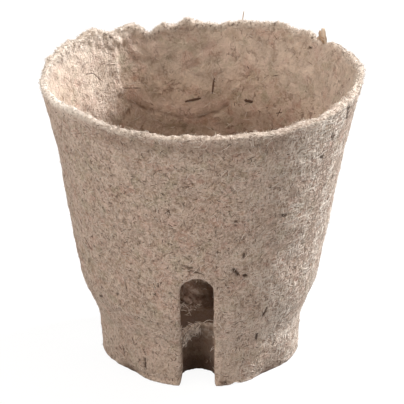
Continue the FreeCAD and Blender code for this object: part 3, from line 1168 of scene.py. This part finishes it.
# The patterns in the pulp. Their sizes are those of the real clots, crumbs and fibres, and the
# finest, of about 0.3 mm, are as coarse as they need to be to show in the render.
PATTERNS = {
    "clouds": Blotches(12.0, 3.0, (0.35, 0.68)),
    "clots": Blotches(2.4, 4.0),
    "tint": Blotches(2.4, 4.0, (0.30, 0.70)),
    "grain": Blotches(0.6, 3.0),
    "dust": Blotches(0.6, 3.0, (0.50, 0.68)),
    "pores": Blotches(0.6, 3.0, (0.48, 0.30)),
    "crumble": Blotches(0.9, 3.0),
    "gaps": Blotches(0.9, 3.0, (0.47, 0.36)),
    "knots": Blotches(0.9, 3.0, (0.50, 0.62)),
    "patch": Blotches(3.2, 1.0, (0.42, 0.58), (2.0, 7.0, 3.0)),
    "worn": Blotches(7.0, 2.0, (0.40, 0.58), (6.0, 1.0, 2.0), 0.2),
    "rust": Blotches(4.2, 2.0, SPOT, (7.0, 3.0, 1.0)),
    "moss": Blotches(5.0, 2.0, SPOT, (1.0, 9.0, 4.0)),
    "ochre": Blotches(3.0, 2.0, SPOT, (4.0, 4.0, 8.0)),
    "rose": Blotches(3.6, 2.0, SPOT, (8.0, 1.0, 5.0)),
    "curls": Curls(4.4, 0.034),
    "pale_curls": Curls(3.4, 0.030, (5.0, 4.0, 9.0)),
    "fibres": Streaks(2.2, 0.34, (14.0, 48.0, 83.0, 121.0, 158.0), (0.60, 0.70)),
    "strands": Streaks(1.5, 0.36, (30.0, 76.0, 98.0, 140.0), (0.63, 0.73)),
    "gauze": Streaks(1.9, 0.42, (0.0, 90.0), (0.50, 0.60)),
    "weft": Streaks(1.9, 0.42, (0.0, 90.0), (0.50, 0.60), (7.0, 3.0, 5.0)),
    "crumbs": Flecks((1.6, 1.0), 0.28, (3.0, 8.0, 1.0)),
    "specks": Flecks((1.5, 1.0), 0.32, (9.0, 2.0, 6.0)),
}


@dataclass(frozen=True)
class Layer:
    """A colour or a height in millimetres that shows where all of its patterns and zones meet."""

    share: float
    patterns: tuple[str, ...]
    pigment: Pigment | None = None

    def shown(self, nodes: Graph, drawn: dict[str, Socket]) -> Socket:
        """Return the layer's share times each of its patterns."""
        shown = self.share
        for name in self.patterns:
            shown = nodes.add("Math", {0: drawn[name], 1: shown}, operation="MULTIPLY")
        return shown


# The plain pulp and the clots in it: a pattern, and the pigments that it runs between. The inner face's
# paler pigment is partly the pulp's own colour and partly painted light.
GROUNDS = (("outer_face", Pigment.LINING_WITH_LIGHT, Pigment.BODY), ("tint", Pigment.DEEP, Pigment.PALE))

# The colours over the plain pulp, from the lowest to the topmost.
COATS = (
    Layer(0.42, ("clouds",), Pigment.DEEP),
    Layer(0.46, ("rust",), Pigment.RUST),
    Layer(0.47, ("moss",), Pigment.MOSS),
    Layer(0.38, ("ochre",), Pigment.OCHRE),
    Layer(0.46, ("rose",), Pigment.ROSE),
    Layer(0.50, ("dust", "coarse"), Pigment.PALE),
    Layer(0.60, ("pores", "coarse"), Pigment.PEAT),
    Layer(0.34, ("fibres",), Pigment.PALE),
    Layer(0.70, ("strands", "coarse"), Pigment.PEAT),
    Layer(0.70, ("curls", "inward", "patch"), Pigment.SOAKED_AND_SHADE),
    Layer(0.30, ("pale_curls",), Pigment.PALE),
    Layer(0.50, ("specks",), Pigment.PALE),
    # Painted light above the tide line, on the flap and on the left lip.
    Layer(1.0, ("painted_light",), Pigment.CREAM),
    # Pale torn pulp, and partly painted light on the fluff and the far clod in the slots.
    Layer(0.45, ("torn_edge_and_clod_light",), Pigment.CREAM),
    # Painted shade: in the hollows and creases inside, under the front lip and on the lip.
    Layer(0.22, ("crevice_shade",), Pigment.PEAT),
    # Rose over the creases, and painted light on the far clod.
    Layer(0.34, ("crease_band_and_clod_light",), Pigment.ROSE),
    # Browner below the tide line: partly wet pulp, partly painted shade that grows further down.
    Layer(0.58, ("damp_and_depth_shade",), Pigment.SOAKED_AND_SHADE),
    # Painted shade low inside the pot and in the slots.
    Layer(0.80, ("low_shade",), Pigment.LOW_SHADE_BROWN),
    Layer(0.60, ("weathered",), Pigment.PEAT),
    Layer(0.95, ("weathered", "gaps"), Pigment.BARK),
    # Painted light on the foot and the left rim, and a paler chipped edge.
    Layer(0.14, ("foot_light_and_pale_rim",), Pigment.PALE),
    Layer(0.85, ("crumbs", "coarse"), Pigment.BARK),
    Layer(0.80, ("torn_edge_and_clod_light", "gaps"), Pigment.PEAT),
    Layer(0.70, ("torn_edge_and_clod_light", "knots"), Pigment.CREAM),
    # The screen's paler ridges: print, and partly painted highlight on the lit right.
    Layer(1.0, ("gauze", "print_and_highlight", "worn"), Pigment.CREAM),
    Layer(0.50, ("weft", "print_and_highlight"), Pigment.PEAT),
    # Painted shade along the creases.
    Layer(0.52, ("crease_shade",), Pigment.SOAKED_AND_SHADE),
    Layer(1.0, ("pit",), Pigment.BARK),
)

# How high each pattern stands out of the pulp, in millimetres.
HEIGHTS = (
    Layer(0.34, ("clots",)),
    Layer(0.20, ("grain",)),
    Layer(0.08, ("fibres",)),
    Layer(-0.07, ("strands",)),
    Layer(-0.08, ("crumbs",)),
    Layer(0.14, ("gauze", "print_and_highlight", "worn")),
    Layer(-0.08, ("weft", "print_and_highlight")),
    Layer(0.45, ("crumble", "torn_edge_and_clod_light")),
    Layer(-0.10, ("curls", "inward", "patch")),
)


@dataclass(frozen=True)
class PressedPulp:
    """Wood and peat pulp, pressed wet on a wire screen and dried.

    It is a matt felt: no gloss, short fibres in every direction, clots that are a little darker
    or paler, dark crumbs of bark, and on the outside the small imprint of the screen, whose paler
    ridges are partly painted highlight on the right. The inside is painted paler than the outside,
    and paler and yellower towards the rim, which is painted light; low down it is browner, partly
    as wet pulp and partly as painted shade.
    """

    roughness: float = 0.95
    specular: float = 0.15
    sheen: float = 0.12
    sheen_roughness: float = 0.6
    clotting: float = 0.52
    inside_grain: float = 0.25
    outside_curls: float = 0.35
    mean_radius: float = 33.0

    def material(self, zones: Iterable[str]) -> bpy.types.Material:
        """Make the material of the pot's wall.

        Args:
            zones: The names of the zones that are stored on the mesh.

        Returns:
            A material whose patterns are set in millimetres round the wall.
        """
        made = bpy.data.materials.new("pressed_wood_and_peat_pulp")
        nodes = Graph(made)
        sketch = Sketch(nodes, self.mean_radius)
        drawn = {name: pattern.draw(sketch) for name, pattern in PATTERNS.items()}
        drawn |= {name: nodes.add("Attribute", out="Fac", attribute_name=name) for name in zones}
        drawn["coarse"] = nodes.add("MapRange", {0: drawn["outer_face"], 3: self.inside_grain})
        inward = {0: drawn["outer_face"], 3: 1.0, 4: self.outside_curls}
        drawn["inward"] = nodes.add("MapRange", inward)
        bump = {"Strength": 1.0, "Distance": MM, "Height": self.height(nodes, drawn)}
        shader = nodes.add("BsdfPrincipled", {
            "Base Color": self.colour(nodes, drawn),
            "Roughness": self.roughness,
            "Specular IOR Level": self.specular,
            "Sheen Weight": self.sheen,
            "Sheen Roughness": self.sheen_roughness,
            "Normal": nodes.add("Bump", bump),
        })
        nodes.add("OutputMaterial", {"Surface": shader})
        return made

    def colour(self, nodes: Graph, drawn: dict[str, Socket]) -> Socket:
        """Return the pulp's colour, from its lining and body up through all its coats.

        Args:
            nodes: The material's nodes.
            drawn: The patterns and zones by name.

        Returns:
            The colour.
        """
        paint = {pigment: to_linear(pigment.value) for pigment in Pigment}
        grounds = []
        for name, low, high in GROUNDS:
            sockets = {MIX_SHARE: drawn[name], MIX_UNDER: paint[low], MIX_OVER: paint[high]}
            grounds.append(nodes.add("Mix", sockets, MIX_RESULT, data_type="RGBA"))
        colour, clotted = grounds
        coats = [(coat.shown(nodes, drawn), paint[coat.pigment]) for coat in COATS]
        for share, above in ((self.clotting, clotted), *coats):
            sockets = {MIX_SHARE: share, MIX_UNDER: colour, MIX_OVER: above}
            colour = nodes.add("Mix", sockets, MIX_RESULT, data_type="RGBA")
        return colour

    def height(self, nodes: Graph, drawn: dict[str, Socket]) -> Socket:
        """Return the height of the pulp's surface in millimetres.

        Args:
            nodes: The material's nodes.
            drawn: The patterns and zones by name.

        Returns:
            The sum of the patterns' heights.
        """
        total = 0.0
        for layer in HEIGHTS:
            total = nodes.add("Math", {0: layer.shown(nodes, drawn), 1: total}, operation="ADD")
        return total


@dataclass(frozen=True)
class StrayFibre:
    """Loose cellulose or bark fibre: matt, and each of its own tone between two colours."""

    name: str
    dark: str
    light: str
    roughness: float = 0.9
    specular: float = 0.2
    sheen: float = 0.1
    streak_size: float = 0.5
    streak_detail: float = 2.0
    streak_share: float = 0.5
    streak_depth: float = 0.05
    bump: float = 0.4
    tones: tuple[float, float] = (0.2, 1.3)

    def material(self) -> bpy.types.Material:
        """Make the fibre's material.

        Returns:
            A material that reads each fibre's own tone, with a fine streak along it.
        """
        made = bpy.data.materials.new(self.name)
        nodes = Graph(made)
        tone = nodes.add("Attribute", out="Fac", attribute_name="tone")
        coords = nodes.add("TexCoord", out="Object")
        scale = 1.0 / (self.streak_size * MM)
        fine = {"Vector": coords, "Scale": scale, "Detail": self.streak_detail}
        streak = nodes.add("TexNoise", fine)
        toned = {0: streak, 1: self.streak_share, 2: tone}
        total = nodes.add("Math", toned, operation="MULTIPLY_ADD")
        darkest, lightest = self.tones
        share = nodes.add("MapRange", {0: total, 1: darkest, 2: lightest})
        mixed = {MIX_SHARE: share, MIX_UNDER: to_linear(self.dark), MIX_OVER: to_linear(self.light)}
        bump = {"Strength": self.bump, "Distance": self.streak_depth * MM, "Height": streak}
        shader = nodes.add("BsdfPrincipled", {
            "Base Color": nodes.add("Mix", mixed, MIX_RESULT, data_type="RGBA"),
            "Roughness": self.roughness,
            "Specular IOR Level": self.specular,
            "Sheen Weight": self.sheen,
            "Normal": nodes.add("Bump", bump),
        })
        nodes.add("OutputMaterial", {"Surface": shader})
        return made


BARK_SLIVER = StrayFibre("bark_sliver", "#4C3A2F", "#7E6656")
BARK_STALK = StrayFibre("bark_stalk", "#45332A", "#6B5243")
PALE_FIBRE = StrayFibre("bleached_wood_fibre", "#B9A798", "#E0D3C7")
TORN_CARD = StrayFibre("torn_dry_pulp", "#C0A082", "#E6D4C0")
FLUFF = StrayFibre("dry_fluff", "#CBBAAA", "#F2E8DC")
# Near-white fibres for the tufts in the slots, whiter than the fibre itself: partly painted light.
LIT_TUFT = StrayFibre("tuft_painted_lighter", "#E8D9CB", "#FFF4EA")


@dataclass(frozen=True)
class FibreKind:
    """What one kind of loose fibre in the pulp is like.

    The curl is in radians over its length, and flat is its thickness as a share of its width.
    It stands from 0, along the surface, to 1, straight out of it.
    """

    name: str
    finish: StrayFibre
    count: int
    length: tuple[float, float]
    width: tuple[float, float]
    flat: float
    lift: float
    curl: float
    seed: int
    steps: int
    stand: float = 0.0


@dataclass(frozen=True)
class FibreBed:
    """Lays fibres along the pulp's surface or lets them stand out of it, and over the floor."""

    surface: PulpSurface
    floor_gap: float = 0.15
    level_jitter: float = 1e-3
    waver: float = 0.4
    sides: int = 3
    first_side: float = 90.0
    thinnest: float = 0.2
    tip_turn: float = 0.12
    stroke_steps: int = 7
    stroke_flat: float = 0.4
    stroke_point: float = 0.35

    def routes(
        self, kind: FibreKind, weights: np.ndarray
    ) -> tuple[np.ndarray, np.ndarray, np.ndarray]:
        """Lead each fibre of a kind over the surface.

        Args:
            kind: The sizes of the fibres.
            weights: How likely a fibre starts on each triangle, for its area.

        Returns:
            The points of each fibre, the normals there, and each fibre's width.
        """
        rng = np.random.default_rng(kind.seed)
        places, normals = self.surface.sample(weights, kind.count, rng)
        level = np.cross(normals, (0.0, 0.0, 1.0)) + rng.normal(0.0, self.level_jitter, normals.shape)
        level /= np.linalg.norm(level, axis=1)[:, None]
        upright = np.cross(normals, level)
        turn = rng.uniform(0.0, 2.0 * math.pi, kind.count)
        length = rng.uniform(*kind.length, kind.count)
        width = rng.uniform(*kind.width, kind.count)
        bend = rng.normal(0.0, kind.curl, kind.count) / kind.steps
        points = [places]
        facing = [normals]
        for _ in range(1, kind.steps):
            turn = turn + bend + rng.normal(0.0, kind.curl * self.waver, kind.count) / kind.steps
            along = level * np.cos(turn)[:, None] + upright * np.sin(turn)[:, None]
            heading = along * (1.0 - kind.stand) + normals * kind.stand
            heading /= np.linalg.norm(heading, axis=1)[:, None]
            ahead = points[-1] + heading * (length / (kind.steps - 1))[:, None]
            if kind.stand == 0.0:
                ahead, normals = self.surface.nearest(ahead)
            points.append(ahead)
            facing.append(normals)
        route = np.stack(points, axis=1)
        across = np.stack(facing, axis=1)
        arch = np.sin(np.linspace(0.0, math.pi, kind.steps))[None, :, None]
        route += across * arch * rng.uniform(0.0, kind.lift, kind.count)[:, None, None]
        route[:, :, 2] = np.maximum(route[:, :, 2], self.floor_gap)
        return route, across, width

    def tubes(
        self,
        name: str,
        route: np.ndarray,
        across: np.ndarray,
        width: np.ndarray,
        flat: float,
        point: float = 0.6,
    ) -> bpy.types.Object:
        """Make closed, tapered fibres along their routes.

        Args:
            name: The name of the piece.
            route: The points of each fibre in millimetres.
            across: The surface's normal at each point.
            width: The width of each fibre.
            flat: The thickness of a fibre as a share of its width.
            point: How pointed the ends are, from 0 for blunt.

        Returns:
            One object that holds all of them, with a random tone for each.
        """
        count, steps, _ = route.shape
        ahead = np.gradient(route, axis=1)
        ahead /= np.maximum(np.linalg.norm(ahead, axis=2), TINY)[:, :, None]
        aside = np.cross(ahead, across)
        aside /= np.maximum(np.linalg.norm(aside, axis=2), TINY)[:, :, None]
        over = np.cross(aside, ahead)
        ends = np.sin(np.linspace(self.tip_turn, math.pi - self.tip_turn, steps)) ** point
        half = 0.5 * width[:, None] * between(self.thinnest, 1.0, ends)[None, :]
        ring = []
        for turn in np.radians(self.first_side + 360.0 / self.sides * np.arange(self.sides)):
            reach = aside * math.cos(turn) + over * (math.sin(turn) * flat)
            ring.append(route + reach * half[:, :, None])
        points = np.stack(ring, axis=2).reshape(-1, 3)
        here = np.arange(self.sides)
        after = (here + 1) % self.sides
        first = np.arange(count)[:, None] * steps * self.sides
        row = first[:, :, None] + np.arange(steps - 1)[None, :, None] * self.sides
        above = row + self.sides
        walls = np.stack((row + here, row + after, above + after, above + here), axis=3)
        caps = np.concatenate((first + here[::-1], first + (steps - 1) * self.sides + here))
        faces = walls.reshape(-1, 4).tolist() + caps.tolist()
        mesh = bpy.data.meshes.new(name)
        mesh.from_pydata((points * MM).tolist(), [], faces)
        tones = np.random.default_rng(len(faces)).uniform(0.0, 1.0, count)
        tone = np.repeat(tones, steps * self.sides)
        mesh.attributes.new("tone", "FLOAT", "POINT").data.foreach_set("value", tone)
        mesh.shade_smooth()
        piece = bpy.data.objects.new(name, mesh)
        bpy.context.scene.collection.objects.link(piece)
        return piece

    def finish(self, piece: bpy.types.Object, finish: StrayFibre) -> None:
        """Give a piece its finish and its place in the frame."""
        piece.data.materials.append(finish.material())
        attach(piece, BODY)
        LOG.info("%s: %d faces", piece.name, len(piece.data.polygons))

    def lay(self, kind: FibreKind, weights: np.ndarray) -> None:
        """Lay one kind of fibre as a piece of its own."""
        route, across, width = self.routes(kind, weights)
        self.finish(self.tubes(kind.name, route, across, width, kind.flat), kind.finish)

    def lay_strokes(self, name: str, marks: tuple[Stroke, ...], finish: StrayFibre) -> None:
        """Lay strokes, each in its own place, as one piece.

        Args:
            name: The name of the piece.
            marks: The strokes that it holds.
            finish: Their finish.
        """
        laid = [mark.route(self.surface, self.stroke_steps) for mark in marks]
        route = np.stack([points for points, _ in laid])
        across = np.stack([normals for _, normals in laid])
        width = np.array([mark.width for mark in marks])
        piece = self.tubes(name, route, across, width, self.stroke_flat, self.stroke_point)
        self.finish(piece, finish)


BARK = FibreKind("bark_slivers", BARK_SLIVER, 3000, (0.4, 1.6), (0.16, 0.32), 0.4, 0.03, 0.8, 21, 4)
HAIR = FibreKind("pale_fibres", PALE_FIBRE, 5000, (1.0, 3.0), (0.12, 0.22), 0.7, 0.06, 1.4, 22, 5)
FUZZ = FibreKind("wall_fuzz", FLUFF, 3200, (0.3, 0.9), (0.05, 0.09), 0.9, 0.1, 2.0, 25, 3, 0.45)
RIM_HAIR = FibreKind("rim_fibres", FLUFF, 4200, (0.3, 1.0), (0.06, 0.12), 0.9, 0.2, 2.2, 23, 5, 0.4)
SLOT_FLUFF = FibreKind("slot_fluff", LIT_TUFT, 800, (0.7, 2.2), (0.12, 0.24), 0.8, 0.4, 2.0, 24, 6, 0.30)


@dataclass(frozen=True)
class LooseFibres:
    """All the fibres and slivers that show on the pot, and how thick they lie in each place."""

    inner_bark: float = 0.15
    inner_hair: float = 0.35
    soaked_loss: float = 0.75
    front_rim: float = 0.5
    chipped_loss: float = 0.85
    torn_tops: float = 0.012
    clod_fringe: float = 0.08

    def build(self, surface: PulpSurface) -> None:
        """Lay every kind of fibre.

        Args:
            surface: The surface of the dressed pot.
        """
        bed = FibreBed(surface)
        points = surface.middles
        everywhere = Band.HAIRY.of(points.height)
        outside = Band.OUTER_SIDE.of(points.out)
        bed.lay(BARK, everywhere * between(self.inner_bark, 1.0, outside))
        soaked = (1.0 - outside) * Band.BARE_INSIDE.of(points.height)
        hairy = everywhere * between(self.inner_hair, 1.0, outside)
        bed.lay(HAIR, hairy * (1.0 - self.soaked_loss * soaked))
        bed.lay(FUZZ, everywhere * outside)
        back = self.front_rim + Band.HAIRY_BACK.of(points.cosine)
        chipped = 1.0 - self.chipped_loss * Stretch.BARE_RIM.of(points.bearing)
        bed.lay(RIM_HAIR, Band.HAIRY_RIM.of(points.below) * back * chipped)
        tears = self.torn_tops * SLOTS.tear_share(points.places)
        tears *= Band.FACING_UP.of(surface.normals[:, 2])
        fringe = self.clod_fringe * SLOTS.clod_share(points.places) * Band.FRINGE.of(points.height)
        bed.lay(SLOT_FLUFF, tears + fringe + SLOTS.fluff_share(points.places))
        bed.lay_strokes("large_stalks", STALKS, BARK_STALK)
        bed.lay_strokes("rim_chips", RIM_CHIPS, TORN_CARD)


def direction(bearing: float, elevation: float) -> Vector:
    """Return the direction at a bearing and an elevation, both in degrees."""
    turn, lift = math.radians(bearing), math.radians(elevation)
    return Vector((math.sin(turn) * math.cos(lift), math.cos(turn) * math.cos(lift), math.sin(lift)))


@dataclass(frozen=True)
class Lamp:
    """A distant lamp: the bearing and height it shines from, its power, breadth and colour."""

    name: str
    bearing: float
    elevation: float
    power: float
    angle: float
    colour: str


LAMPS = (
    Lamp("Key_lamp", 61.0, 34.0, 6.15, 13.0, "#FAFAFB"),
    Lamp("Window", -125.0, 15.0, 2.0, 60.0, "#FFF8F1"),
    Lamp("Wall_bounce", 118.0, 35.0, 0.46, 50.0, "#FFF6EC"),
    Lamp("Overhead", 0.0, 90.0, 1.1, 60.0, "#FFFAF4"),
)


@dataclass(frozen=True)
class Studio:
    """The white floor and surroundings, the lamps and the camera.

    The camera's place and focus are in millimetres and in pixels of the photograph, which is as
    wide as it is high.
    """

    image: int = 404
    focus: float = 2557.4
    centre: tuple[float, float] = (200.5, 213.97)
    bearing: float = 178.4
    elevation: float = 23.895
    distance: float = 650.0
    target: float = 36.0
    sensor: float = 36.0
    nearest: float = 50.0
    furthest: float = 50000.0
    floor_half: float = 3000.0
    floor_paper: str = "#AEAEAE"
    floor_shadow: str = "#595959"
    floor_glow: str = "#F7F7F7"
    sky: float = 0.27
    sky_colour: str = "#FFF9F4"
    white: str = "#FFFFFF"

    def build(self) -> None:
        """Make the whole studio."""
        self.camera()
        self.floor()
        for lamp in LAMPS:
            self.hang(lamp)
        self.surroundings()
        bpy.context.scene.view_settings.view_transform = "Standard"

    def camera(self) -> None:
        """Stand the camera where the photograph was taken."""
        data = bpy.data.cameras.new("Camera")
        data.sensor_width = self.sensor
        data.lens = self.focus * self.sensor / self.image
        data.shift_x = (self.image / 2 - self.centre[0]) / self.image
        data.shift_y = (self.centre[1] - self.image / 2) / self.image
        data.clip_start = self.nearest * MM
        data.clip_end = self.furthest * MM
        camera = bpy.data.objects.new("Camera", data)
        back = direction(self.bearing, self.elevation)
        camera.location = (Vector((0.0, 0.0, self.target)) + back * self.distance) * MM
        camera.rotation_euler = (-back).to_track_quat("-Z", "Y").to_euler()
        bpy.context.scene.collection.objects.link(camera)
        bpy.context.scene.camera = camera

    def floor(self) -> None:
        """Lay a white paper floor, which glows to the camera and keeps a faint shadow of the pot."""
        half = self.floor_half * MM
        mesh = bpy.data.meshes.new("floor")
        corners = [(-half, -half, 0.0), (half, -half, 0.0), (half, half, 0.0), (-half, half, 0.0)]
        mesh.from_pydata(corners, [], [(0, 1, 2, 3)])
        made = bpy.data.materials.new("white_paper_floor")
        nodes = Graph(made)
        paper = nodes.add("BsdfDiffuse", {"Color": to_linear(self.floor_paper)})
        faint = nodes.add("BsdfDiffuse", {"Color": to_linear(self.floor_shadow)})
        glow = nodes.add("Emission", {"Color": to_linear(self.floor_glow), "Strength": 1.0})
        seen = nodes.add("AddShader", {0: faint, 1: glow})
        mixed = nodes.add("MixShader", {0: self.seen_directly(nodes), 1: paper, 2: seen})
        nodes.add("OutputMaterial", {"Surface": mixed})
        mesh.materials.append(made)
        floor = bpy.data.objects.new("floor", mesh)
        bpy.context.scene.collection.objects.link(floor)

    def seen_directly(self, nodes: Graph) -> Socket:
        """Tell rays that show the background from rays that light the pot.

        Args:
            nodes: The nodes of a material or the world.

        Returns:
            A value of 1 for camera, glossy and transmission rays, and 0 for others.
        """
        shows = nodes.add("LightPath", out="Is Camera Ray")
        path = shows.node.outputs
        for kind in ("Is Glossy Ray", "Is Transmission Ray"):
            shows = nodes.add("Math", {0: shows, 1: path[kind]}, operation="MAXIMUM")
        return shows

    def hang(self, lamp: Lamp) -> None:
        """Hang one lamp, far enough away for its light to come from one direction."""
        data = bpy.data.lights.new(lamp.name, "SUN")
        data.energy = lamp.power
        data.angle = math.radians(lamp.angle)
        data.color = to_linear(lamp.colour)[:3]
        made = bpy.data.objects.new(lamp.name, data)
        towards = direction(lamp.bearing, lamp.elevation)
        made.rotation_euler = towards.to_track_quat("Z", "Y").to_euler()
        made.location = towards
        bpy.context.scene.collection.objects.link(made)

    def surroundings(self) -> None:
        """Surround the pot with soft white light, and show plain white to the camera."""
        world = bpy.data.worlds.new("Studio")
        nodes = Graph(world)
        soft = nodes.add("Background", {"Color": to_linear(self.sky_colour), "Strength": self.sky})
        plain = nodes.add("Background", {"Color": to_linear(self.white), "Strength": 1.0})
        mixed = nodes.add("MixShader", {0: self.seen_directly(nodes), 1: soft, 2: plain})
        nodes.add("OutputWorld", {"Surface": mixed})
        bpy.context.scene.world = world


def main() -> None:
    """Dress the pot and build its studio."""
    logging.basicConfig(level=logging.INFO, format="%(name)s: %(message)s")
    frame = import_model()
    Studio().build()
    surface = MouldedPot().build(frame["nodes"][NODE])
    LooseFibres().build(surface)


if __name__ == "__main__":
    main()
